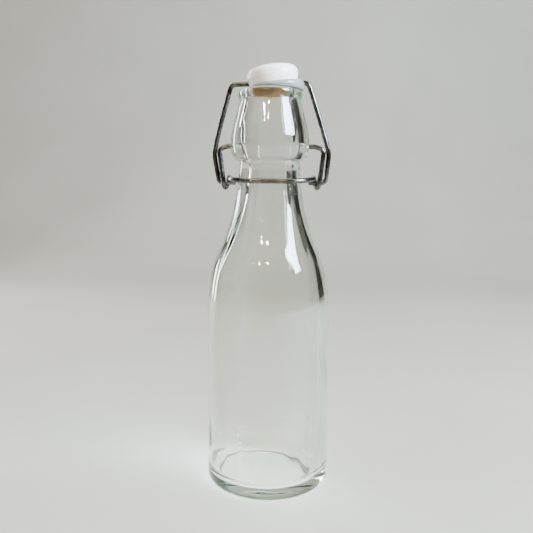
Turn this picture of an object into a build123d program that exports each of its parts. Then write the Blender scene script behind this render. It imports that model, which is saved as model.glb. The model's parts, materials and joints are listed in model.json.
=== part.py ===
"""Swing-top glass bottle with its wire bail, wire lever, moulded stopper head and gasket.

Millimetres, +Z up.  The origin is the centre of the base, on the surface the bottle stands on.
The front of the bottle, where the lever's loop lies across the neck, faces -Y.
"""
from build123d import *
import math
import os

# ---------------------------------------------------------------- driving dimensions
BODY_R = 30.0            # outside radius of the straight body
BODY_TOP_Z = 72.0        # where the shoulder starts to draw in
WALL = 3.8               # glass of the straight body, on average
FOOT_R = 25.0            # inner edge of the flat ring that the bottle stands on
FOOT_W = 1.0
HEAD_R = 19.0            # outside radius of the swollen head, at the pivot sockets
HEAD_FOOT_Z = 158.0      # underside of the head
LIP_Z = 191.5            # top of the lip
MOUTH_R = 10.3           # bore of the mouth
FLOOR_Z = 4.6            # inside floor at its rim
PUSH_UP = 2.4            # height of the hollow under the base

WIRE_R = 1.15            # both wires
SOCKET_CLEAR = 0.07      # running clearance of a lever end in its glass socket
HOLE_CLEAR = 0.08        # running clearance of the bail's bar in the stopper
EYE_CLEAR = 0.10         # running clearance of a bail pin in the lever's eye

PIVOT_Z = 165.3          # lever ends in the glass sockets
SOCKET_DEPTH = 4.2
EYE_Y = 2.4              # bail pins, behind the pivot line by the over-centre lock
EYE_Z = 148.1
LEVER_SHIFT = 0.85       # the lever hangs a little to one side in its sockets
LEVER_END_X = 16.2       # tip of each end in its socket, from the lever's own centre
LEVER_ELBOW_X = 20.6     # where the end leaves the glass and starts to turn down
LEVER_LEG_X = 25.1       # top of the leg
LEVER_FOOT_X = 22.9      # foot of the leg, where the eye starts
EYE_PITCH = 2.55         # sideways step of one full turn of the eye
LOOP_FRONT_Y = -17.4
LOOP_FRONT_Z = 148.4

BAIL_SHIFT = 1.3         # foot of the bail, to the same side as the lever
BAIL_LEAN = 0.033        # its sideways lean to the left, for each unit of height
BAIL_LEG_X = 27.8        # widest place of the bail, from its own centre
BAIL_FOOT_X = 25.8
BAIL_TOP_X = 18.3
PIN_TIP_X = 17.6         # inner end of each pin
BAR_Z = 194.7            # centre of the bar through the stopper
BAR_SLOPE = 1.8          # degrees: the hand-bent bar rises to the right

CAP_R = 12.2
CAP_H = 8.9
CAP_UNDER = 0.9          # underside of the cap below the bar's centre line
STOPPER_X = 1.4          # the stopper sits this far along the bar
STOPPER_TILT = 7.8       # degrees: its left edge sits low
STEM_R = 3.0
STEM_LEAN = 17.0         # degrees: the soft stem is bent back under the tilted cap
NECK_OF_STEM_R = 2.0
KNOB_R = 2.7
PLUG_END = 6.5           # below the bar, along the stem
KNOB_END = 8.3
HOLE_FLARE = 7.0         # degrees: the cross hole widens from its waist to both ends

FLANGE_R = 13.3
FLANGE_X = 2.9           # the flange is squeezed out to the thick side of its wedge
PLUG_R = 9.1             # plug at the lip; it centres itself in the mouth
PLUG_X = 0.1
PLUG_Z = 188.1
SEAT_GAP = 0.25          # gasket above the glass lip


def bottle_outline():
    """Half section of the glass, from the axis under the base round to the axis inside."""
    inner_r = BODY_R - WALL
    under = TangentArc((0, PUSH_UP), (FOOT_R - 1.5, 0.5), tangent=(1, 0))
    ring = ThreePointArc((FOOT_R - 1.5, 0.5), (FOOT_R - 0.6, 0.1), (FOOT_R, 0))
    foot = Line((FOOT_R, 0), (FOOT_R + FOOT_W, 0))
    heel = TangentArc((BODY_R, 5.0), (FOOT_R + FOOT_W, 0), tangent=(0, -1))
    body = Line((BODY_R, 5.0), (BODY_R, BODY_TOP_Z))
    shoulder = Spline((BODY_R, BODY_TOP_Z), (29.3, 95.0), (26.9, 108.8), (22.0, 120.4), (18.2, 132.0),
                      (16.2, 142.6), (14.75, HEAD_FOOT_Z), tangents=[(0, 1), (-0.08, 1)])
    step = Line((14.75, HEAD_FOOT_Z), (16.4, HEAD_FOOT_Z + 0.5))
    head = Spline((16.4, HEAD_FOOT_Z + 0.5), (18.3, 161.2), (HEAD_R, PIVOT_Z + 0.9), (18.35, 173.0),
                  (16.6, 180.0), (14.8, 186.7), tangents=[(1, 0.55), (-0.3, 1)])
    bead = ThreePointArc((14.8, 186.7), (15.35, 189.2), (14.2, 191.2))
    lip_out = ThreePointArc((14.2, 191.2), (13.8, 191.42), (13.3, LIP_Z))
    lip = Line((13.3, LIP_Z), (MOUTH_R + 1.1, LIP_Z))
    lip_in = RadiusArc((MOUTH_R + 1.1, LIP_Z), (MOUTH_R, LIP_Z - 1.1), -1.1)
    throat = Line((MOUTH_R, LIP_Z - 1.1), (MOUTH_R, 186.0))
    bore = Spline((MOUTH_R, 186.0), (11.6, 180.0), (13.0, 173.0), (13.5, 165.5), (12.0, 160.5),
                  (10.2, 156.0), (10.4, 148.0), (11.3, 142.0), (13.4, 132.0), (17.7, 120.4), (22.8, 108.8),
                  (25.4, 95.0), (inner_r, BODY_TOP_Z), tangents=[(0, -1), (0, -1)])
    wall = Line((inner_r, BODY_TOP_Z), (inner_r, FLOOR_Z + 6.0))
    corner = RadiusArc((inner_r, FLOOR_Z + 6.0), (inner_r - 6.0, FLOOR_Z), 6.0)
    floor = TangentArc((0, FLOOR_Z + 1.4), (inner_r - 6.0, FLOOR_Z), tangent=(1, 0))
    axis = Line((0, FLOOR_Z + 1.4), (0, PUSH_UP))
    return [under, ring, foot, heel, body, shoulder, step, head, bead, lip_out, lip, lip_in, throat, bore, wall,
            corner, floor, axis]


def glass_bottle():
    """The blown bottle: one turned shape with a blind socket in each side of the head."""
    section = make_face([Plane.YZ * edge for edge in bottle_outline()])
    glass = revolve(section, Axis.Z, 360)
    socket = Rot(0, 90, 0) * Cylinder(WIRE_R + SOCKET_CLEAR, 2 * SOCKET_DEPTH)
    for side in (-1, 1):
        glass -= Pos(side * HEAD_R, 0, PIVOT_Z) * socket
    return glass


def bend_wire(points, radii):
    """A round wire along straight runs joined by tangent arcs."""
    path = FilletPolyline(*points, radius=radii)
    return sweep(Plane(path @ 0, z_dir=path % 0) * Circle(WIRE_R), path)


def lever_wire():
    """Lever: an end in each socket, a leg down each side, an eye round each bail pin, a front loop."""
    eye_r = 2 * WIRE_R + EYE_CLEAR
    top_z = EYE_Z + eye_r
    low_z = EYE_Z - eye_r
    front_y = EYE_Y - eye_r
    rear_y = EYE_Y + eye_r
    right = [(LEVER_END_X, 0, PIVOT_Z), (LEVER_ELBOW_X, 0, PIVOT_Z),
             (LEVER_LEG_X, 0, PIVOT_Z - 1.3), (LEVER_FOOT_X, front_y, low_z),
             (LEVER_FOOT_X - 0.45 * EYE_PITCH, rear_y, low_z),
             (LEVER_FOOT_X - 0.75 * EYE_PITCH, rear_y, top_z),
             (LEVER_FOOT_X - 1.1 * EYE_PITCH, -EYE_Y, top_z),
             (LEVER_FOOT_X - 1.2 * EYE_PITCH, LOOP_FRONT_Y, LOOP_FRONT_Z)]
    left = [(-x, y, z) for x, y, z in reversed(right)]
    points = [(x + LEVER_SHIFT, y, z) for x, y, z in right + left]
    bend = eye_r - 0.02
    radii = [2.0, 2.4, bend, bend, bend, 10.0, 13.5]
    return bend_wire(points, radii + radii[::-1])


def bail_wire():
    """Bail: a pin in each lever eye, a bowed leg up each side, and the bar across the top."""
    drop = BAR_Z - EYE_Z
    rise = math.tan(math.radians(BAR_SLOPE))

    def place(x, height):
        """A point of the bail's plane, at a height above the pins; the top leans to the left."""
        lift = x * rise * height / drop
        return (x + BAIL_SHIFT - BAIL_LEAN * height, EYE_Y * (1 - height / drop), EYE_Z + height + lift)

    right = [(PIN_TIP_X, 0), (BAIL_FOOT_X, 0), (BAIL_LEG_X, 14.0), (BAIL_LEG_X - 3.2, 26.0),
             (BAIL_TOP_X, drop)]
    left = [(-x, height) for x, height in reversed(right)]
    radii = [2.4, 14.0, 40.0, 3.2]
    return bend_wire([place(x, height) for x, height in right + left], radii + radii[::-1])


def stopper_frame():
    """Where the stopper's own frame sits: its origin is on the bar, its +Z is its axis."""
    slope = math.tan(math.radians(BAR_SLOPE))
    bar_middle_x = BAIL_SHIFT - BAIL_LEAN * (BAR_Z - EYE_Z)
    height = BAR_Z + (STOPPER_X - bar_middle_x) * slope
    return Pos(STOPPER_X, 0, height) * Rot(0, -STOPPER_TILT, 0)


def cross_hole(waist_r):
    """Hour-glass cutter along the stopper's X: a waist at the middle and a flare to both ends."""
    reach = FLANGE_R + 2.0
    end_r = waist_r + reach * math.tan(math.radians(HOLE_FLARE))
    half = Pos(reach / 2, 0, 0) * Rot(0, 90, 0) * Cone(waist_r, end_r, reach)
    return half + mirror(half, Plane.YZ)


def stem_frame():
    """The stem's own frame: its origin is on the bar too, and the stem hangs down its -Z."""
    return Pos(stopper_frame().position) * Rot(0, STEM_LEAN, 0)


def stem_outline():
    """Half section of the stem, from its root in the cap down to the top of the knob."""
    return [(0, 0), (STEM_R, 0), (STEM_R, -2.6), (NECK_OF_STEM_R, -4.2), (NECK_OF_STEM_R, -PLUG_END)]


def stopper_head():
    """The moulded head: a domed cap, a stem through the gasket and a knob that holds the gasket."""
    top = CAP_H - CAP_UNDER
    shoulder = 0.74 * CAP_R
    under = Polyline((0, top), (0, -CAP_UNDER), (CAP_R - 0.5, -CAP_UNDER), (CAP_R, top - 4.2))
    dome = TangentArc((0, top), (shoulder, top - 0.6), tangent=(1, 0))
    crown = ThreePointArc((shoulder, top - 0.6), (0.93 * CAP_R, top - 1.8), (CAP_R, top - 4.2))
    cap = revolve(make_face([Plane.XZ * edge for edge in (under, dome, crown)]), Axis.Z, 360)
    knob = [(KNOB_R, -PLUG_END), (KNOB_R, -PLUG_END - 0.5), (1.5, -KNOB_END), (0, -KNOB_END), (0, 0)]
    stem = revolve(Plane.XZ * make_face(Polyline(*stem_outline(), *knob)), Axis.Z, 360)
    hole = stopper_frame() * cross_hole(WIRE_R + HOLE_CLEAR)
    return stopper_frame() * cap + stem_frame() * stem - hole


def gasket():
    """The rubber gasket: a flange squeezed to a wedge on the lip and a tapered plug in the mouth."""
    seat_z = LIP_Z + SEAT_GAP
    frame = stopper_frame()
    disc = Pos(FLANGE_X - STOPPER_X, 0, -CAP_UNDER - 3.0) * Cylinder(FLANGE_R, 6.0)
    disc = fillet(disc.edges().filter_by(GeomType.CIRCLE).sort_by(Axis.Z)[-1], 0.8)
    flange = (frame * disc) & (Pos(0, 0, seat_z + 10.0) * Box(60, 60, 20.0))
    plug_outline = Polyline((0, seat_z + 0.4), (PLUG_R, seat_z + 0.4), (PLUG_R, seat_z - 1.0),
                            (PLUG_R - 0.9, seat_z - 2.4), (PLUG_R - 2.6, PLUG_Z), (0, PLUG_Z),
                            (0, seat_z + 0.4))
    plug = Pos(PLUG_X, 0, 0) * revolve(Plane.XZ * make_face(plug_outline), Axis.Z, 360)
    past_end = [(KNOB_R + 1, -PLUG_END), (KNOB_R + 1, -KNOB_END - 2), (0, -KNOB_END - 2), (0, 0)]
    bore = stem_frame() * revolve(Plane.XZ * make_face(Polyline(*stem_outline(), *past_end)), Axis.Z, 360)
    slot = frame * cross_hole(WIRE_R + HOLE_CLEAR + 0.1)
    return flange + plug - bore - slot


PARTS = {
    "glass_bottle": glass_bottle,
    "lever_wire": lever_wire,
    "bail_wire": bail_wire,
    "stopper_head": stopper_head,
    "gasket": gasket,
}

os.makedirs("parts", exist_ok=True)
for node, make in PARTS.items():
    shape = make()
    export_step(shape, os.path.join("parts", node + ".step"))
    print(node, "volume", round(shape.volume, 1), "mm3")
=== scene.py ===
"""Looks of the swing-top bottle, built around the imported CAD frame.  Metres, +Z up, front at -Y."""
import json
import math

import bpy
import numpy as np
from mathutils import Matrix, Vector


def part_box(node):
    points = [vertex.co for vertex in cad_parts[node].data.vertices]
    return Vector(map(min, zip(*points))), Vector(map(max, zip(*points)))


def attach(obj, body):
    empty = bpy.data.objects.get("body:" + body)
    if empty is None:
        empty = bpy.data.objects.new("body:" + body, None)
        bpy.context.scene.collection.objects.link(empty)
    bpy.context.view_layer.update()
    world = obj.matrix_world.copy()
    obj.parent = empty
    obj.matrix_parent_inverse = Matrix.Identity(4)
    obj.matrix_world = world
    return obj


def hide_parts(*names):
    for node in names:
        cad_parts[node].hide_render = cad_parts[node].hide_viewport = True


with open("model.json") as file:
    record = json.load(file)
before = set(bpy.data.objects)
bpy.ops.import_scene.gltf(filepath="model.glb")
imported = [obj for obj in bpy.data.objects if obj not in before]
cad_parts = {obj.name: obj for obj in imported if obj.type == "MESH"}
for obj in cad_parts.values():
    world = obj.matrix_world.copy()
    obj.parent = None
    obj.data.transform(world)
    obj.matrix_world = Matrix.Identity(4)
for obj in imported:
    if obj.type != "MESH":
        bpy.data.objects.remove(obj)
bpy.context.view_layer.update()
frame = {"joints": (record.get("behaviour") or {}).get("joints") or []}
MM = 0.001


# ---------------------------------------------------------------- places read from the frame
def joint(name):
    """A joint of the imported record, by name."""
    return next(row for row in frame["joints"] if row["name"] == name)


GLASS_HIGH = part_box("glass_bottle")[1]
BODY_R = GLASS_HIGH[0]
LIP_Z = GLASS_HIGH[2]
PIVOT_Z = joint("lever_hinge")["pos_m"][2]
EYE_Y, EYE_Z = joint("bail_hinge")["pos_m"][1:]
BAR_X, _, BAR_Z = joint("stopper_hinge")["pos_m"]
BAR_AXIS = joint("stopper_hinge")["axis"]
BAR_RISE = BAR_AXIS[2] / BAR_AXIS[0]

# ---------------------------------------------------------------- the bottle's own sizes
HEAD_R = 19.0 * MM            # outside of the head at the sockets
HEAD_FOOT_Z = 158.0 * MM
SOCKET_DEPTH = 4.2 * MM
SOCKET_CLEAR = 0.07 * MM
MOUTH_R = 10.3 * MM
LIP_EDGE_R = 1.1 * MM         # rounding of the lip's inner edge
THROAT_END_Z = 189.0 * MM
INNER_R = 26.4 * MM           # inside of the straight body
THIN_SIDE = 1.9 * MM          # how far the inside is off centre, to the left
PUSH_UP = 2.4 * MM            # height of the hollow under the base
FOOT_R = 25.0 * MM            # inner edge of the ring that the bottle stands on
FLOOR_Z = 4.6 * MM            # inside floor at its rim
FLOOR_RISE = 1.4 * MM
FLOOR_CORNER_R = 6.0 * MM
HEEL_R = 5.125 * MM
HEEL_Z = 5.0 * MM
BODY_TOP_Z = 72.0 * MM        # where the shoulder starts to draw in
TURNS = 288                   # points round the bottle
KNURLS = 72                   # ridges round the foot

# ---------------------------------------------------------------- the wires' sizes
WIRE_R = 1.15 * MM
WIRE_STEP = 0.5 * MM
LEVER_SHIFT = 0.85 * MM       # the lever hangs a little to one side
LEVER_END_GAP = 1.4 * MM      # from the socket's bottom to the lever's end, before the shift
LEVER_ELBOW_X = 20.6 * MM
LEVER_LEG_X = 25.1 * MM
LEVER_FOOT_X = 22.9 * MM
EYE_R = 2 * WIRE_R + 0.10 * MM
EYE_PITCH = 2 * WIRE_R + 0.25 * MM
LOOP_FRONT_Y = -17.4 * MM
LOOP_FRONT_Z = 148.4 * MM
BAIL_SHIFT = 1.3 * MM
BAIL_LEAN = 1.05 * BAR_RISE   # its sideways lean to the left, for each unit of height
PIN_TIP_X = 17.6 * MM
BAIL_FOOT_X = 25.8 * MM
BAIL_LEG_X = 27.8 * MM        # its widest place
BAIL_BEND_X = 24.6 * MM
BAIL_TOP_X = 18.3 * MM

# ---------------------------------------------------------------- the stopper's sizes
CAP_R = 12.2 * MM
CAP_TOP = 8.0 * MM
CAP_UNDER = 0.9 * MM
STEM_R = 3.0 * MM
STEM_NECK_R = 2.0 * MM
KNOB_R = 2.7 * MM
STOPPER_X = 1.4 * MM          # the stopper sits this far along the bail's bar
STOPPER_TILT = math.radians(7.8)
STEM_LEAN = math.radians(17)
HOLE_FLARE = math.radians(7.0)
CAP_HOLE_R = 1.23 * MM
GASKET_HOLE_R = 1.33 * MM
FLANGE_R = 13.3 * MM
FLANGE_X = 3.1 * MM           # the flange is squeezed to the right
PLUG_R = 9.1 * MM
PLUG_X = 0.1 * MM
PLUG_LEAN = 0.5               # sideways drift of the plug for each unit of depth
PLUG_END_Z = 188.0 * MM
SEAT_Z = LIP_Z + 0.12 * MM    # underside of the flange
STOPPER_SPOT = Vector((STOPPER_X, 0, BAR_Z + (STOPPER_X - BAR_X) * BAR_RISE))
STOPPER_FRAME = Matrix.Translation(STOPPER_SPOT) @ Matrix.Rotation(-STOPPER_TILT, 4, "Y")
STEM_FRAME = Matrix.Translation(STOPPER_SPOT) @ Matrix.Rotation(STEM_LEAN, 4, "Y")


# ---------------------------------------------------------------- outlines
def arc(centre, radius, start, end, count):
    """Points of a circular arc, angles in degrees."""
    angles = np.radians(np.linspace(start, end, count))
    return np.column_stack([centre[0] + radius * np.cos(angles), centre[1] + radius * np.sin(angles)])


def smooth_curve(points, count, ends=None):
    """A cubic curve through points, about evenly spaced; ends are the two end directions."""
    points = np.asarray(points, float)
    spans = np.linalg.norm(np.diff(points, axis=0), axis=1)
    knots = np.concatenate([[0], np.cumsum(spans)])
    slopes = np.gradient(points, knots, axis=0)
    if ends is not None:
        for index, way in zip((0, -1), ends):
            slopes[index] = np.asarray(way, float) / np.linalg.norm(way)
    places = np.linspace(0, knots[-1], count)
    span = np.clip(np.searchsorted(knots, places, side="right") - 1, 0, len(spans) - 1)
    width = spans[span][:, None]
    t = ((places - knots[span]) / spans[span])[:, None]
    low, high = points[span], points[span + 1]
    curve = (2 * t ** 3 - 3 * t ** 2 + 1) * low + (3 * t ** 2 - 2 * t ** 3) * high
    leave, arrive = t ** 3 - 2 * t ** 2 + t, t ** 3 - t ** 2
    return curve + width * (leave * slopes[span] + arrive * slopes[span + 1])


def straight(start, end, count):
    """Evenly spaced points from start to end."""
    return np.linspace(start, end, count)


def joined(*stretches):
    """One outline from several stretches, without doubled points."""
    outline = np.concatenate(stretches)
    keep = np.ones(len(outline), bool)
    keep[1:] = np.linalg.norm(np.diff(outline, axis=0), axis=1) > 1e-6
    return outline[keep]


# ---------------------------------------------------------------- mesh making
def mesh_object(name, verts, faces, sharp_deg=40.0):
    """A smooth-shaded mesh object with edges sharper than sharp_deg kept crisp."""
    mesh = bpy.data.meshes.new(name)
    mesh.from_pydata([tuple(v) for v in verts], [], faces)
    mesh.validate()
    mesh.update()
    obj = bpy.data.objects.new(name, mesh)
    bpy.context.collection.objects.link(obj)
    finish_shading(obj, sharp_deg)
    return obj


def finish_shading(obj, sharp_deg):
    """Smooth shading, split at sharp edges."""
    obj.data.polygons.foreach_set("use_smooth", [True] * len(obj.data.polygons))
    obj.data.set_sharp_from_angle(angle=math.radians(sharp_deg))
    obj.data.update()


def skin(rings, poles=None):
    """Vertices and faces over rings of points; poles close the ends, and without them the ends meet."""
    rings = np.asarray(rings)
    count, turns = rings.shape[:2]
    verts = rings.reshape(-1, 3)
    around = np.arange(turns)
    beside = (around + 1) % turns
    faces = []
    for index in range(count if poles is None else count - 1):
        low = index * turns
        high = (index + 1) % count * turns
        squares = np.column_stack([low + around, low + beside, high + beside, high + around])
        faces.extend(squares.tolist())
    if poles is not None:
        verts = np.vstack([verts, poles])
        top = (count - 1) * turns
        first, last = count * turns, count * turns + 1
        faces.extend(np.column_stack([np.full(turns, first), beside, around]).tolist())
        faces.extend(np.column_stack([np.full(turns, last), top + around, top + beside]).tolist())
    return verts, faces


def ring(centre_x, radius, height, turns):
    """A ring of points about the line x = centre_x; radius and height are numbers or one per point."""
    angles = np.linspace(0, 2 * math.pi, turns, endpoint=False)
    return np.column_stack([centre_x + radius * np.cos(angles), radius * np.sin(angles),
                            np.broadcast_to(height, turns)])


def lathe(name, outline, turns, place=None, sharp_deg=40.0):
    """An object turned about Z from an outline that starts and ends on the axis, then put in place."""
    rings = [ring(0, radius, height, turns) for radius, height in outline[1:-1]]
    verts, faces = skin(rings, [(0, 0, outline[0][1]), (0, 0, outline[-1][1])])
    if place is not None:
        verts = [place @ Vector(v) for v in verts]
    if outline[0][1] > outline[-1][1]:
        faces = [face[::-1] for face in faces]
    return mesh_object(name, verts, faces, sharp_deg)


def combine(obj, tools, operation, sharp_deg=40.0):
    """A boolean with each tool, applied, with the tools removed."""
    for tool in tools:
        step = obj.modifiers.new("combine", "BOOLEAN")
        step.operation = operation
        step.solver = "EXACT"
        step.object = tool
    shown = bpy.context.evaluated_depsgraph_get()
    mesh = bpy.data.meshes.new_from_object(obj.evaluated_get(shown))
    obj.modifiers.clear()
    obj.data = mesh
    for tool in tools:
        bpy.data.objects.remove(tool)
    finish_shading(obj, sharp_deg)


def bent_route(points, radii, step):
    """Points along straight runs joined by tangent arcs, at most step apart."""
    points = [Vector(p) for p in points]
    route = [points[0]]
    for before, corner, after, radius in zip(points, points[1:], points[2:], radii):
        way_in = (corner - before).normalized()
        way_out = (after - corner).normalized()
        turn = way_in.angle(way_out)
        reach = radius * math.tan(turn / 2)
        start = corner - way_in * reach
        inward = (way_out - way_in * way_out.dot(way_in)).normalized()
        count = max(4, math.ceil(radius * turn / step))
        for place in np.linspace(0, turn, count + 1):
            along = way_in * radius * math.sin(place)
            route.append(start + along + inward * radius * (1 - math.cos(place)))
    route.append(points[-1])
    full = [route[0]]
    for a, b in zip(route, route[1:]):
        count = max(1, math.ceil((b - a).length / step))
        full.extend(a.lerp(b, i / count) for i in range(1, count + 1) if (b - a).length > 1e-7)
    return full


def wire_mesh(name, route, radius, sides=28):
    """A round wire along a route: faint hand-bent wobble, ends cut square with a worn edge."""
    wobble_size, wobble_turn, settle_length = 0.035 * MM, 0.21 / MM, 8 * MM
    rng = np.random.default_rng(len(route))
    phases = rng.uniform(0, 2 * math.pi, (4, 2))
    ways = [(b - a).normalized() for a, b in zip(route, route[1:])]
    tangents = [ways[0]] + [(a + b).normalized() for a, b in zip(ways, ways[1:])] + [ways[-1]]
    normal = tangents[0].orthogonal().normalized()
    travelled = np.concatenate([[0], np.cumsum([(b - a).length for a, b in zip(route, route[1:])])])
    stations = []
    for index, (spot, way) in enumerate(zip(route, tangents)):
        normal = (normal - way * normal.dot(way)).normalized()
        across = way.cross(normal)
        run = travelled[index]
        wobble = [sum(wobble_size / (k + 1) * math.sin(run * wobble_turn * (k + 1) + phases[k][axis])
                      for k in range(4)) for axis in (0, 1)]
        settle = min(1.0, run / settle_length, (travelled[-1] - run) / settle_length)
        centre = spot + (normal * wobble[0] + across * wobble[1]) * settle
        stations.append((centre, normal.copy(), across, 1.0))
    worn_edge = [(0.0, 0.80), (0.10 * MM, 0.93), (0.22 * MM, 1.0)]
    ends = []
    tips = ((route[0], ways[0], stations[0]), (route[-1], -ways[-1], stations[-1]))
    for spot, way, (_, normal, across, _) in tips:
        ends.append([(spot + way * inset, normal, across, scale) for inset, scale in worn_edge])
    stations = ends[0] + stations[1:-1] + ends[1][::-1]
    angles = np.linspace(0, 2 * math.pi, sides, endpoint=False)
    rings = [[centre + (normal * math.cos(angle) + across * math.sin(angle)) * radius * scale
              for angle in angles] for centre, normal, across, scale in stations]
    verts, faces = skin(rings, [route[0], route[-1]])
    return mesh_object(name, verts, faces, 35.0)


# ---------------------------------------------------------------- materials
def add(tree, kind, inputs=None, **settings):
    """A shader node with its settings, and its inputs set to values or linked to sockets."""
    node = tree.nodes.new(kind)
    for name, value in settings.items():
        setattr(node, name, value)
    for name, value in (inputs or {}).items():
        if isinstance(value, bpy.types.NodeSocket):
            tree.links.new(value, node.inputs[name])
        else:
            node.inputs[name].default_value = value
    return node


def new_material(name):
    """An empty node material; returns it with its tree, output and object coordinates."""
    material = bpy.data.materials.new(name)
    material.use_nodes = True
    tree = material.node_tree
    tree.nodes.clear()
    output = tree.nodes.new("ShaderNodeOutputMaterial")
    place = add(tree, "ShaderNodeTexCoord").outputs["Object"]
    return material, tree, output, place


def noise(tree, place, scale, detail=3.0, roughness=0.5, stretch=(1, 1, 1)):
    """Noise factor in object space, per metre, stretched along the axes."""
    mapped = add(tree, "ShaderNodeMapping", {"Vector": place, "Scale": stretch}).outputs["Vector"]
    inputs = {"Vector": mapped, "Scale": scale, "Detail": detail, "Roughness": roughness}
    return add(tree, "ShaderNodeTexNoise", inputs).outputs["Fac"]


def ramp(tree, factor, *stops):
    """A colour ramp: stops are (position, grey or colour)."""
    node = add(tree, "ShaderNodeValToRGB", {"Fac": factor})
    marks = node.color_ramp.elements
    while len(marks) < len(stops):
        marks.new(0.5)
    for mark, (position, value) in zip(marks, stops):
        mark.position = position
        mark.color = (*value, 1.0) if isinstance(value, tuple) else (value, value, value, 1.0)
    return node.outputs["Color"]


def mix(tree, factor, first, second):
    """Two colours mixed by a factor."""
    node = add(tree, "ShaderNodeMix", data_type="RGBA")
    for socket, value in zip((node.inputs[0], node.inputs[6], node.inputs[7]), (factor, first, second)):
        if isinstance(value, bpy.types.NodeSocket):
            tree.links.new(value, socket)
        else:
            socket.default_value = (*value, 1.0) if isinstance(value, tuple) else value
    return node.outputs[2]


def bump(tree, height, strength, distance):
    """A bump normal; distance in metres."""
    inputs = {"Height": height, "Strength": strength, "Distance": distance}
    return add(tree, "ShaderNodeBump", inputs).outputs["Normal"]


def glass_material():
    """Clear blown glass: faint green in its depth, dull in smudges, lamps shine through it."""
    material, tree, output, place = new_material("clear_bottle_glass")
    smudge = noise(tree, place, 55, 4.0, 0.6, (1, 1, 0.35))
    rough = ramp(tree, smudge, (0.5, 0.0), (0.8, 0.05))
    glass = add(tree, "ShaderNodeBsdfPrincipled", {
        "Base Color": (0.94, 0.94, 0.915, 1), "Roughness": rough,
        "IOR": 1.51, "Transmission Weight": 1.0})
    clear = add(tree, "ShaderNodeBsdfTransparent", {"Color": (0.93, 0.955, 0.945, 1)})
    lamp_ray = add(tree, "ShaderNodeLightPath").outputs["Is Shadow Ray"]
    surface = add(tree, "ShaderNodeMixShader", {0: lamp_ray, 1: glass.outputs[0], 2: clear.outputs[0]})
    tint = add(tree, "ShaderNodeVolumeAbsorption", {"Color": (0.50, 0.72, 0.56, 1), "Density": 9.0})
    tree.links.new(surface.outputs[0], output.inputs["Surface"])
    tree.links.new(tint.outputs[0], output.inputs["Volume"])
    return material


def wire_material():
    """Weathered galvanised wire: grey zinc with dark handling film, brown spots and drawing lines."""
    material, tree, output, place = new_material("weathered_zinc_wire")
    zinc, grime, rust = (0.21, 0.208, 0.20), (0.075, 0.07, 0.062), (0.16, 0.085, 0.045)
    film = ramp(tree, noise(tree, place, 160, 4.0, 0.6), (0.36, zinc), (0.64, grime))
    spots = ramp(tree, noise(tree, place, 420, 5.0, 0.7), (0.62, 0.0), (0.72, 1.0))
    colour = mix(tree, spots, film, rust)
    rough = ramp(tree, noise(tree, place, 700, 3.0, 0.6), (0.3, 0.14), (0.75, 0.34))
    grain = noise(tree, place, 2600, 2.0, 0.5, (1, 1, 0.12))
    metal = add(tree, "ShaderNodeBsdfPrincipled", {
        "Base Color": colour, "Metallic": 1.0, "Roughness": rough,
        "Normal": bump(tree, grain, 0.35, 0.04 * MM)})
    tree.links.new(metal.outputs[0], output.inputs["Surface"])
    return material


def plastic_material():
    """White moulded plastic, a little translucent, with fine scuffs; the stem and knob below the lip are
    painted amber-brown as painted shade of the mouth.
    """
    material, tree, output, place = new_material("white_moulded_plastic")
    # amber is painted shade: the stem and knob below the lip are coloured amber-brown where they hang in
    # the shaded mouth
    white, yellowed, amber = (0.94, 0.94, 0.935), (0.87, 0.845, 0.80), (0.42, 0.23, 0.09)
    plastic_tone = ramp(tree, noise(tree, place, 70, 3.0, 0.55), (0.42, white), (0.75, yellowed))
    height = add(tree, "ShaderNodeSeparateXYZ", {"Vector": place}).outputs["Z"]
    # painted shade mask: 0 below the lip, where the stem and knob are painted amber-brown, 1 above it
    above_lip = add(tree, "ShaderNodeMapRange", {
        "Value": height, "From Min": LIP_Z - 1.6 * MM, "From Max": LIP_Z + 0.2 * MM}).outputs["Result"]
    colour = mix(tree, above_lip, amber, plastic_tone)
    rough = ramp(tree, noise(tree, place, 260, 5.0, 0.65), (0.35, 0.24), (0.7, 0.42))
    scuffs = noise(tree, place, 900, 5.0, 0.7)
    plastic = add(tree, "ShaderNodeBsdfPrincipled", {
        "Base Color": colour, "Roughness": rough, "Subsurface Weight": 0.35,
        "Subsurface Radius": (1.0, 0.85, 0.7), "Subsurface Scale": 1.6 * MM, "IOR": 1.5,
        "Normal": bump(tree, scuffs, 0.15, 0.05 * MM)})
    tree.links.new(plastic.outputs[0], output.inputs["Surface"])
    return material


def rubber_material():
    """Pale translucent gasket rubber, amber and stained where it sits in the mouth."""
    material, tree, output, place = new_material("gasket_rubber")
    height = add(tree, "ShaderNodeSeparateXYZ", {"Vector": place}).outputs["Z"]
    above_lip = add(tree, "ShaderNodeMapRange", {
        "Value": height, "From Min": LIP_Z - 0.4 * MM, "From Max": LIP_Z}).outputs["Result"]
    cloud = noise(tree, place, 240, 4.0, 0.6)
    amber = ramp(tree, cloud, (0.3, (0.40, 0.24, 0.10)), (0.7, (0.20, 0.11, 0.045)))
    pale = ramp(tree, cloud, (0.3, (0.34, 0.35, 0.35)), (0.7, (0.26, 0.255, 0.235)))
    colour = mix(tree, above_lip, amber, pale)
    rubber = add(tree, "ShaderNodeBsdfPrincipled", {
        "Base Color": colour, "Roughness": 0.26, "Subsurface Weight": 0.5,
        "Subsurface Radius": (1.0, 0.9, 0.8), "Subsurface Scale": 2.0 * MM, "IOR": 1.45,
        "Normal": bump(tree, noise(tree, place, 1500, 3.0, 0.6), 0.2, 0.04 * MM)})
    tree.links.new(rubber.outputs[0], output.inputs["Surface"])
    return material


# ---------------------------------------------------------------- the glass bottle
def dome(rim_r, rise):
    """Height of a shallow dome over its rim, as a function of the distance from its axis."""
    ball_r = (rim_r ** 2 + rise ** 2) / (2 * rise)
    return lambda x: rise - ball_r + math.sqrt(ball_r ** 2 - x ** 2)


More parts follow.
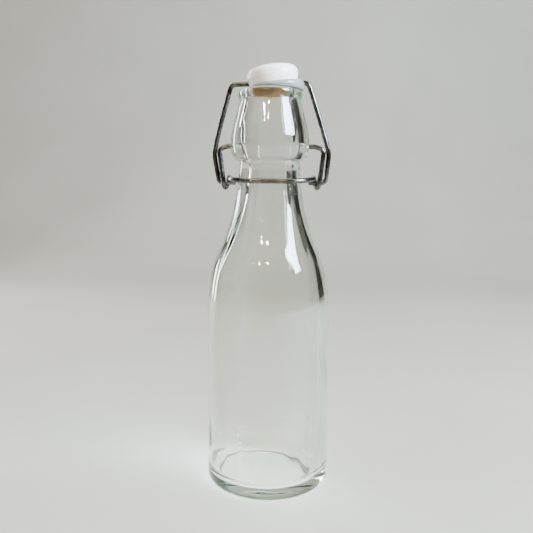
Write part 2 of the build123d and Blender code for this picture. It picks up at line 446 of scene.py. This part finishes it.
def outer_outline():
    """Outside of the glass, from the axis under the base up to the lip's inner edge."""
    rim_z = 0.5 * MM
    hollow_r = FOOT_R - 1.5 * MM
    hollow = dome(hollow_r, PUSH_UP - rim_z)
    under = [(x, rim_z + hollow(x)) for x in np.linspace(0, hollow_r, 24)]
    foot_edge = smooth_curve([(hollow_r, rim_z), (FOOT_R - 0.6 * MM, 0.1 * MM), (FOOT_R, 0)], 8)
    foot = straight((FOOT_R, 0), (FOOT_R + 1.0 * MM, 0), 4)
    heel = arc((BODY_R - HEEL_R, HEEL_Z), HEEL_R, -77.3, 0, 16)
    body = straight((BODY_R, HEEL_Z), (BODY_R, BODY_TOP_Z), 34)
    shoulder = smooth_curve(
        [(BODY_R, BODY_TOP_Z), (29.3 * MM, 95 * MM), (26.9 * MM, 108.8 * MM), (22.0 * MM, 120.4 * MM),
         (18.2 * MM, 132 * MM), (16.2 * MM, 142.6 * MM), (14.75 * MM, HEAD_FOOT_Z)],
        74, [(0, 1), (-0.08, 1)])
    step = smooth_curve([(14.75 * MM, HEAD_FOOT_Z - 0.3 * MM), (15.2 * MM, HEAD_FOOT_Z + 0.15 * MM),
                         (16.4 * MM, HEAD_FOOT_Z + 0.5 * MM)], 7)
    head = smooth_curve(
        [(16.4 * MM, HEAD_FOOT_Z + 0.5 * MM), (18.3 * MM, 161.2 * MM), (HEAD_R, PIVOT_Z + 0.9 * MM),
         (18.35 * MM, 173 * MM), (16.6 * MM, 180 * MM), (14.8 * MM, 186.7 * MM)],
        44, [(1, 0.55), (-0.3, 1)])
    bead = smooth_curve([(14.8 * MM, 186.7 * MM), (15.15 * MM, 187.6 * MM), (15.35 * MM, 189.2 * MM),
                         (15.1 * MM, 190.4 * MM), (14.2 * MM, 191.2 * MM), (13.3 * MM, LIP_Z)], 20)
    lip = straight((13.3 * MM, LIP_Z), (MOUTH_R + LIP_EDGE_R, LIP_Z), 6)
    turn_in = arc((MOUTH_R + LIP_EDGE_R, LIP_Z - LIP_EDGE_R), LIP_EDGE_R, 90, 180, 8)
    return joined(under, foot_edge, foot, heel, body, shoulder[:-1], step, head, bead, lip, turn_in)


def inner_outline():
    """Inside of the glass, from the lip's inner edge down to the axis at the floor."""
    throat = straight((MOUTH_R, LIP_Z - LIP_EDGE_R), (MOUTH_R, THROAT_END_Z), 4)
    bore = smooth_curve(
        [(MOUTH_R, THROAT_END_Z), (10.7 * MM, 186 * MM), (11.6 * MM, 180 * MM), (13.0 * MM, 173 * MM),
         (13.5 * MM, 165.5 * MM), (12.0 * MM, 160.5 * MM), (10.2 * MM, 156 * MM), (10.4 * MM, 148 * MM),
         (11.3 * MM, 142 * MM), (13.4 * MM, 132 * MM), (17.7 * MM, 120.4 * MM), (22.8 * MM, 108.8 * MM),
         (25.6 * MM, 95 * MM), (INNER_R, BODY_TOP_Z)], 104, [(0, -1), (0, -1)])
    wall = straight((INNER_R, BODY_TOP_Z), (INNER_R, FLOOR_Z + FLOOR_CORNER_R), 32)
    floor_r = INNER_R - FLOOR_CORNER_R
    corner = arc((floor_r, FLOOR_Z + FLOOR_CORNER_R), FLOOR_CORNER_R, 0, -90, 14)
    swell = dome(floor_r, FLOOR_RISE)
    floor = [(x, FLOOR_Z + swell(x)) for x in np.linspace(floor_r, 0, 22)]
    return joined(throat, bore, wall, corner, floor)


WAVE_HEIGHT = 30 * MM


def waves(seed, count, most_turns, most_rows):
    """A smooth uneven pattern over angle and height, about one unit high."""
    rng = np.random.default_rng(seed)
    turns = rng.integers(1, most_turns + 1, count)
    rows = rng.uniform(-most_rows, most_rows, count)
    phases = rng.uniform(0, 2 * math.pi, count)
    single = list(zip(turns, rows, phases))
    return lambda angles, z: sum(np.cos(turn * angles + row * z / WAVE_HEIGHT + phase)
                                 for turn, row, phase in single) / math.sqrt(count)


THICKNESS = waves(11, 9, 4, 2.2)      # broad thick and thin patches of the wall
STREAKS = waves(5, 10, 9, 0.7)        # long upright streaks of the wall
SKIN = waves(23, 12, 8, 6.0)          # ripples of the outside
FLUTES = waves(37, 14, 26, 1.6)       # narrow upright ripples of the outside
SEAM_WIDTH = math.radians(0.9)


def fade(value, start, end):
    """0 at start, 1 at end, eased."""
    t = np.clip((value - start) / (end - start), 0, 1)
    return t * t * (3 - 2 * t)


def outer_ring(radius, height, turns):
    """A ring of the outside: shallow mould ripples, two seams and a knurled foot."""
    ripple_depth, seam_height, knurl_height = 0.08 * MM, 0.05 * MM, 0.11 * MM
    angles = np.linspace(0, 2 * math.pi, turns, endpoint=False)
    loose = fade(height, 6 * MM, 24 * MM) * (1 - fade(height, 176 * MM, 186 * MM))
    inset = ripple_depth * (2 + SKIN(angles, height) + FLUTES(angles, height)) * loose
    off_seam = np.minimum(np.abs(angles - math.pi), np.minimum(angles, 2 * math.pi - angles))
    seam = np.exp(-(off_seam / SEAM_WIDTH) ** 2)
    moulded = fade(height, 3 * MM, 12 * MM) * (1 - fade(height, 186 * MM, 190 * MM))
    inset += seam_height * (1 - seam) * moulded
    near_foot = fade(radius, 24.2 * MM, 25.2 * MM) * (1 - fade(radius, 27.2 * MM, 28.6 * MM))
    underside = 1 - fade(height, 0.6 * MM, 1.6 * MM)
    knurl = knurl_height * (1 + np.cos(KNURLS * angles)) * near_foot * underside
    return ring(0, radius - inset, height + knurl, turns)


def inner_ring(radius, height, turns):
    """A ring of the inside, which isn't round or centred: thin glass on the left, thick on the right."""
    patch_depth, streak_depth, sag_depth = 0.26 * MM, 0.15 * MM, 0.16 * MM
    dip_depth, dip_z, dip_spacing = 1.0 * MM, 20 * MM, 49 * MM
    angles = np.linspace(0, 2 * math.pi, turns, endpoint=False)
    loose = fade(height, 10 * MM, 26 * MM) * (1 - fade(height, 150 * MM, 182 * MM))
    uneven = (patch_depth * THICKNESS(angles, height) + streak_depth * STREAKS(angles, height)) * loose
    to_right = np.clip(np.cos(angles), 0, 1) ** 2
    dip = 0.5 + 0.5 * math.cos(2 * math.pi * (height - dip_z) / dip_spacing)
    uneven -= dip_depth * dip * to_right * loose * (1 - fade(height, 86 * MM, 100 * MM))
    off_axis = fade(radius, 0, 14 * MM)
    thin = THIN_SIDE * (1 - fade(height, 96 * MM, 134 * MM)) * off_axis
    sag = sag_depth * THICKNESS(angles, radius) * (1 - fade(height, 9 * MM, 16 * MM)) * off_axis
    return ring(-thin, radius + uneven, height + sag, turns)


def socket_cutter(side):
    """A plain cylinder into one side of the head, for a lever end."""
    bore = arc((0, 0), WIRE_R + SOCKET_CLEAR, 0, 360, 49)[:-1]
    ends = [HEAD_R - SOCKET_DEPTH, HEAD_R + SOCKET_DEPTH]
    rings = [[(x, y, PIVOT_Z + z) for y, z in bore] for x in ends]
    verts, faces = skin(rings, [(x, 0, PIVOT_Z) for x in ends])
    if side < 0:
        verts = verts * (-1, 1, 1)
        faces = [face[::-1] for face in faces]
    return mesh_object("socket_cutter", verts, faces)


def make_bottle():
    """The bottle, with uneven glass thickness, mould seams, a knurled foot and the two sockets."""
    outside, inside = outer_outline(), inner_outline()
    rings = [outer_ring(radius, height, TURNS) for radius, height in outside[1:]]
    rings += [inner_ring(radius, height, TURNS) for radius, height in inside[1:-1]]
    poles = [(0, 0, outside[0][1]), (0, 0, inside[-1][1])]
    bottle = mesh_object("bottle_glass", *skin(rings, poles))
    combine(bottle, [socket_cutter(side) for side in (-1, 1)], "DIFFERENCE", 50.0)
    bottle.data.materials.append(glass_material())
    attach(bottle, "bottle")
    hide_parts("glass_bottle")


# ---------------------------------------------------------------- the wires
def make_lever(material):
    """Lever: socket end, leg, eye round the bail pin and front loop, the same on both sides."""
    low_z, top_z = EYE_Z - EYE_R, EYE_Z + EYE_R
    front_y, rear_y = EYE_Y - EYE_R, EYE_Y + EYE_R
    right = [(HEAD_R - SOCKET_DEPTH + LEVER_END_GAP, 0, PIVOT_Z), (LEVER_ELBOW_X, 0, PIVOT_Z),
             (LEVER_LEG_X, 0, PIVOT_Z - 1.3 * MM), (LEVER_FOOT_X, front_y, low_z),
             (LEVER_FOOT_X - 0.45 * EYE_PITCH, rear_y, low_z),
             (LEVER_FOOT_X - 0.75 * EYE_PITCH, rear_y, top_z),
             (LEVER_FOOT_X - 1.1 * EYE_PITCH, -EYE_Y, top_z),
             (LEVER_FOOT_X - 1.2 * EYE_PITCH, LOOP_FRONT_Y, LOOP_FRONT_Z)]
    left = [(-x, y, z) for x, y, z in reversed(right)]
    eye_bend = EYE_R - 0.02 * MM
    radii = [2.0 * MM, 2.4 * MM, eye_bend, eye_bend, eye_bend, 10.0 * MM, 13.5 * MM]
    points = [(x + LEVER_SHIFT, y, z) for x, y, z in right + left]
    wire = wire_mesh("lever_zinc_wire", bent_route(points, radii + radii[::-1], WIRE_STEP), WIRE_R)
    wire.data.materials.append(material)
    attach(wire, "lever")
    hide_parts("lever_wire")


def make_bail(material):
    """Bail: pin, hook, bowed leg and top bar, the same on both sides but leaning a little."""
    drop = BAR_Z - EYE_Z

    def place(x, height):
        """A point of the bail from its place in its own leaning plane."""
        share = height / drop
        across = x + BAIL_SHIFT - height * BAIL_LEAN
        return (across, EYE_Y * (1 - share), EYE_Z + height + x * BAR_RISE * share)

    right = [(PIN_TIP_X, 0), (BAIL_FOOT_X, 0), (BAIL_LEG_X, 14 * MM), (BAIL_BEND_X, 26 * MM),
             (BAIL_TOP_X, drop)]
    left = [(-x, height) for x, height in reversed(right)]
    radii = [2.4 * MM, 14 * MM, 40 * MM, 3.2 * MM]
    points = [place(x, height) for x, height in right + left]
    wire = wire_mesh("bail_zinc_wire", bent_route(points, radii + radii[::-1], WIRE_STEP), WIRE_R)
    wire.data.materials.append(material)
    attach(wire, "bail")
    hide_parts("bail_wire")


# ---------------------------------------------------------------- the stopper
def hole_cutter(waist_r):
    """Hour-glass cutter along the stopper's X, narrowest at waist_r."""
    reach = FLANGE_R + 2 * MM
    flare = math.tan(HOLE_FLARE)
    stations = [-reach, -0.6 * reach, -0.2 * reach, 0, 0.2 * reach, 0.6 * reach, reach]
    outline = np.array([(0, -reach)] + [(waist_r + abs(x) * flare, x) for x in stations] + [(0, reach)])
    return lathe("hole_cutter", outline, 64, STOPPER_FRAME @ Matrix.Rotation(math.pi / 2, 4, "Y"))


def stem_outline(room, tip):
    """The stem from inside the cap down to its neck, room wider all round, then the tip's points."""
    stem_r, neck_r, root_z = STEM_R + room, STEM_NECK_R + room, 1.0 * MM
    return np.array([(0, root_z), (stem_r, root_z), (stem_r, -2.6 * MM), (neck_r, -4.2 * MM),
                     (neck_r, -6.3 * MM)] + tip)


def make_stopper_head():
    """Moulded cap with a softly domed top, a gate mark, a parting line, its stem and its knob."""
    gate_r = 1.7 * MM
    crown = smooth_curve([(5.5 * MM, CAP_TOP - 0.2 * MM), (9.0 * MM, CAP_TOP - 0.6 * MM),
                          (11.35 * MM, CAP_TOP - 1.8 * MM), (CAP_R, CAP_TOP - 4.2 * MM)], 30,
                         [(1, -0.06), (-0.08, -1)])
    gate = [(0, CAP_TOP - 0.05 * MM), (0.55 * MM, CAP_TOP - 0.05 * MM),
            (0.75 * MM, CAP_TOP - 0.22 * MM), (gate_r - 0.2 * MM, CAP_TOP - 0.25 * MM),
            (gate_r + 0.1 * MM, CAP_TOP - 0.08 * MM), (gate_r + 0.6 * MM, CAP_TOP - 0.03 * MM)]
    part_z = CAP_TOP - 5.2 * MM
    part_line = [(CAP_R - 0.02 * MM, part_z + 0.25 * MM), (CAP_R + 0.05 * MM, part_z),
                 (CAP_R - 0.09 * MM, part_z - 0.25 * MM)]
    hem_r = 0.5 * MM
    hem_z = -CAP_UNDER + hem_r
    skirt = straight((CAP_R - 0.12 * MM, part_z - 0.6 * MM), (CAP_R - 0.55 * MM, hem_z), 10)
    hem = arc((CAP_R - 1.05 * MM, hem_z), hem_r, 0, -90, 6)
    under = straight((CAP_R - 1.1 * MM, -CAP_UNDER), (0, -CAP_UNDER), 6)
    head = lathe("stopper_cap", joined(gate, crown, part_line, skirt, hem, under), 144, STOPPER_FRAME)
    knob = smooth_curve([(STEM_NECK_R + 0.2 * MM, -6.32 * MM), (KNOB_R - 0.05 * MM, -6.5 * MM),
                         (KNOB_R - 0.1 * MM, -6.95 * MM), (1.6 * MM, -8.15 * MM), (0, -8.3 * MM)],
                        14, [(1, 0), (-1, 0)])
    stem = lathe("stem", stem_outline(0, [tuple(point) for point in knob]), 96, STEM_FRAME)
    combine(head, [stem], "UNION", 50.0)
    combine(head, [hole_cutter(CAP_HOLE_R)], "DIFFERENCE", 50.0)
    head.data.materials.append(plastic_material())
    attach(head, "stopper")
    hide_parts("stopper_head")


def make_gasket():
    """Gasket: a flange squeezed to a wedge between lip and cap, and a plug leaning in the mouth."""
    turns = 144
    angles = np.linspace(0, 2 * math.pi, turns, endpoint=False)
    slope = math.tan(STOPPER_TILT)
    under_cap = STOPPER_SPOT.z - CAP_UNDER / math.cos(STOPPER_TILT)
    bulge = 0.55 * MM
    edge_r, taper = FLANGE_R - bulge, 0.25 * MM

    def plug_x(height):
        """Centre of the leaning plug at a height."""
        return PLUG_X - PLUG_LEAN * (SEAT_Z - height)

    def cap_z(x):
        """Underside of the tilted cap."""
        return under_cap + (x - STOPPER_X) * slope

    plug = smooth_curve([(5.0 * MM, PLUG_END_Z), (6.2 * MM, PLUG_END_Z + 0.2 * MM),
                         (7.4 * MM, 188.9 * MM), (8.4 * MM, 189.9 * MM), (8.95 * MM, 190.9 * MM),
                         (PLUG_R, SEAT_Z - 0.1 * MM)], 22)
    rings = [ring(plug_x(height), radius, height, turns) for radius, height in plug]
    for t in np.linspace(0.12, 1, 9):
        centre_x, radius = PLUG_X + (FLANGE_X - PLUG_X) * t, PLUG_R + (edge_r - PLUG_R) * t
        rings.append(ring(centre_x, radius, SEAT_Z, turns))
    for t in np.linspace(0.07, 1, 15):
        radius = edge_r - taper * t + bulge * math.sin(math.pi * t) ** 0.7
        top = cap_z(FLANGE_X + radius * np.cos(angles))
        rings.append(ring(FLANGE_X, radius, SEAT_Z + (top - SEAT_Z) * t, turns))
    for t in np.linspace(0.1, 0.9, 9):
        radius = (edge_r - taper) * (1 - t)
        top = cap_z(FLANGE_X + radius * np.cos(angles))
        rings.append(ring(FLANGE_X, radius, top - 0.01 * MM, turns))
    poles = [(plug_x(PLUG_END_Z), 0, PLUG_END_Z), (FLANGE_X, 0, cap_z(FLANGE_X))]
    gasket = mesh_object("gasket_rubber", *skin(rings, poles))
    past_r, past_z = KNOB_R + 0.6 * MM, -10 * MM
    past_end = [(past_r, -6.4 * MM), (past_r, past_z), (0, past_z)]
    stem_cutter = lathe("stem_cutter", stem_outline(0.02 * MM, past_end), 96, STEM_FRAME)
    combine(gasket, [stem_cutter, hole_cutter(GASKET_HOLE_R)], "DIFFERENCE", 45.0)
    gasket.data.materials.append(rubber_material())
    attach(gasket, "stopper")
    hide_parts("gasket")


# ---------------------------------------------------------------- stage, light and camera
def make_stage():
    """A pale plain floor, round and wide, with a backdrop that curves up from it behind the bottle."""
    turns = 96
    floor_radii = (0.3, 1.0, 3.2)
    rings = [ring(0, radius, 0, turns) for radius in floor_radii]
    verts, faces = skin(rings, [(0, 0, 0), (0, 0, 0)])
    floor = mesh_object("floor", verts[:-1], [face[::-1] for face in faces[:-turns]])
    back, rise, top, left, right = 1.2, 0.5, 1.7, -1.9, 0.68
    profile = joined(arc((back - rise, rise), rise, -90, 0, 25), straight((back, rise), (back, top), 4))
    spots = [(x, y, z) for y, z in profile for x in (left, right)]
    faces = [(2 * k, 2 * k + 1, 2 * k + 3, 2 * k + 2) for k in range(len(profile) - 1)]
    backdrop = mesh_object("backdrop", spots, faces)
    material, tree, output, place = new_material("pale_paper")
    darker, lighter = (0.44, 0.41, 0.36), (0.47, 0.44, 0.39)
    tone = ramp(tree, noise(tree, place, 6, 3.0, 0.5), (0.3, darker), (0.7, lighter))
    shader = add(tree, "ShaderNodeBsdfPrincipled", {"Base Color": tone, "Roughness": 0.6})
    tree.links.new(shader.outputs[0], output.inputs["Surface"])
    for sheet in (floor, backdrop):
        sheet.data.materials.append(material)


def make_world():
    """A soft room by direction: pale behind and on the left, dim in front, dark behind on the right."""
    world = bpy.data.worlds.new("soft_room")
    bpy.context.scene.world = world
    world.use_nodes = True
    tree = world.node_tree
    tree.nodes.clear()
    output = tree.nodes.new("ShaderNodeOutputWorld")
    way = add(tree, "ShaderNodeTexCoord").outputs["Generated"]
    parts = add(tree, "ShaderNodeSeparateXYZ", {"Vector": way}).outputs
    turn = add(tree, "ShaderNodeMath", {0: parts["X"], 1: parts["Y"]}, operation="ARCTAN2").outputs[0]
    share = add(tree, "ShaderNodeMapRange", {"Value": turn, "From Min": -math.pi, "From Max": math.pi})
    wall, dark, ceiling = (0.44, 0.425, 0.39), (0.012, 0.013, 0.012), (0.56, 0.54, 0.51)
    around = ramp(tree, share.outputs["Result"], (0.0, 0.17), (0.15, 0.20), (0.29, 0.36),
                  (0.315, 0.15), (0.33, 0.15), (0.36, wall), (0.565, wall), (0.585, dark),
                  (0.70, dark), (0.76, 0.28), (1.0, 0.17))
    height = ramp(tree, parts["Z"], (0.35, 0.0), (0.8, 1.0))
    tone = mix(tree, height, around, ceiling)
    shader = add(tree, "ShaderNodeBackground", {"Color": tone, "Strength": 0.9})
    tree.links.new(shader.outputs[0], output.inputs["Surface"])


def soft_lamp(name, spot, target, size, watts, colour):
    """A rectangular light aimed at a target, not seen by the camera itself."""
    light = bpy.data.lights.new(name, "AREA")
    light.shape = "RECTANGLE"
    light.size, light.size_y = size
    light.energy = watts
    light.color = colour
    lamp = bpy.data.objects.new(name, light)
    lamp.location = spot
    lamp.visible_camera = False
    lamp.rotation_euler = (Vector(target) - Vector(spot)).to_track_quat("-Z", "Y").to_euler()
    bpy.context.collection.objects.link(lamp)


def make_lights():
    """A cool window on the right, a strip behind on the left, a soft top light and two warm lamps."""
    middle = (0, 0, 0.13)
    cool, pale_blue = (0.66, 0.85, 1.0), (0.93, 0.97, 1.0)
    cream, amber = (1.0, 0.93, 0.84), (1.0, 0.72, 0.44)
    soft_lamp("window_right", (0.90, -0.52, 0.72), middle, (0.42, 0.50), 46.0, cool)
    soft_lamp("strip_left", (-0.70, 0.55, 0.30), middle, (0.12, 0.9), 6.0, pale_blue)
    soft_lamp("top_soft", (-0.1, 0.1, 1.5), middle, (1.2, 1.0), 9.0, cream)
    for x, watts in ((-0.45, 5.0), (-0.06, 2.5)):
        spot = (x, -1.05, 0.95)
        soft_lamp(f"warm_lamp_{round(-100 * x)}", spot, middle, (0.06, 0.06), watts, amber)


def make_camera():
    """The viewpoint: level with the neck, close, looking slightly down."""
    pitch_down, roll = math.radians(6.49), math.radians(0.41)
    camera = bpy.data.cameras.new("camera")
    camera.sensor_width = 36.0
    camera.lens = 41.03
    camera.clip_start = 0.01
    obj = bpy.data.objects.new("camera", camera)
    obj.location = (-0.0012, -0.2964, 0.1410)
    down = Matrix.Rotation(math.pi / 2 - pitch_down, 4, "X")
    obj.rotation_euler = (down @ Matrix.Rotation(roll, 4, "Z")).to_euler()
    bpy.context.collection.objects.link(obj)
    bpy.context.scene.camera = obj


def set_light_paths():
    """Enough bounces for light to cross the glass and turn inside it, and a tone curve."""
    bounces = 24
    scene = bpy.context.scene
    scene.cycles.max_bounces = bounces
    scene.cycles.transmission_bounces = bounces
    scene.cycles.glossy_bounces = bounces
    scene.cycles.transparent_max_bounces = bounces
    scene.view_settings.view_transform = "AgX"
    scene.view_settings.look = "AgX - Medium High Contrast"


make_camera()
make_bottle()
wire = wire_material()
make_lever(wire)
make_bail(wire)
make_stopper_head()
make_gasket()
make_stage()
make_world()
make_lights()
set_light_paths()
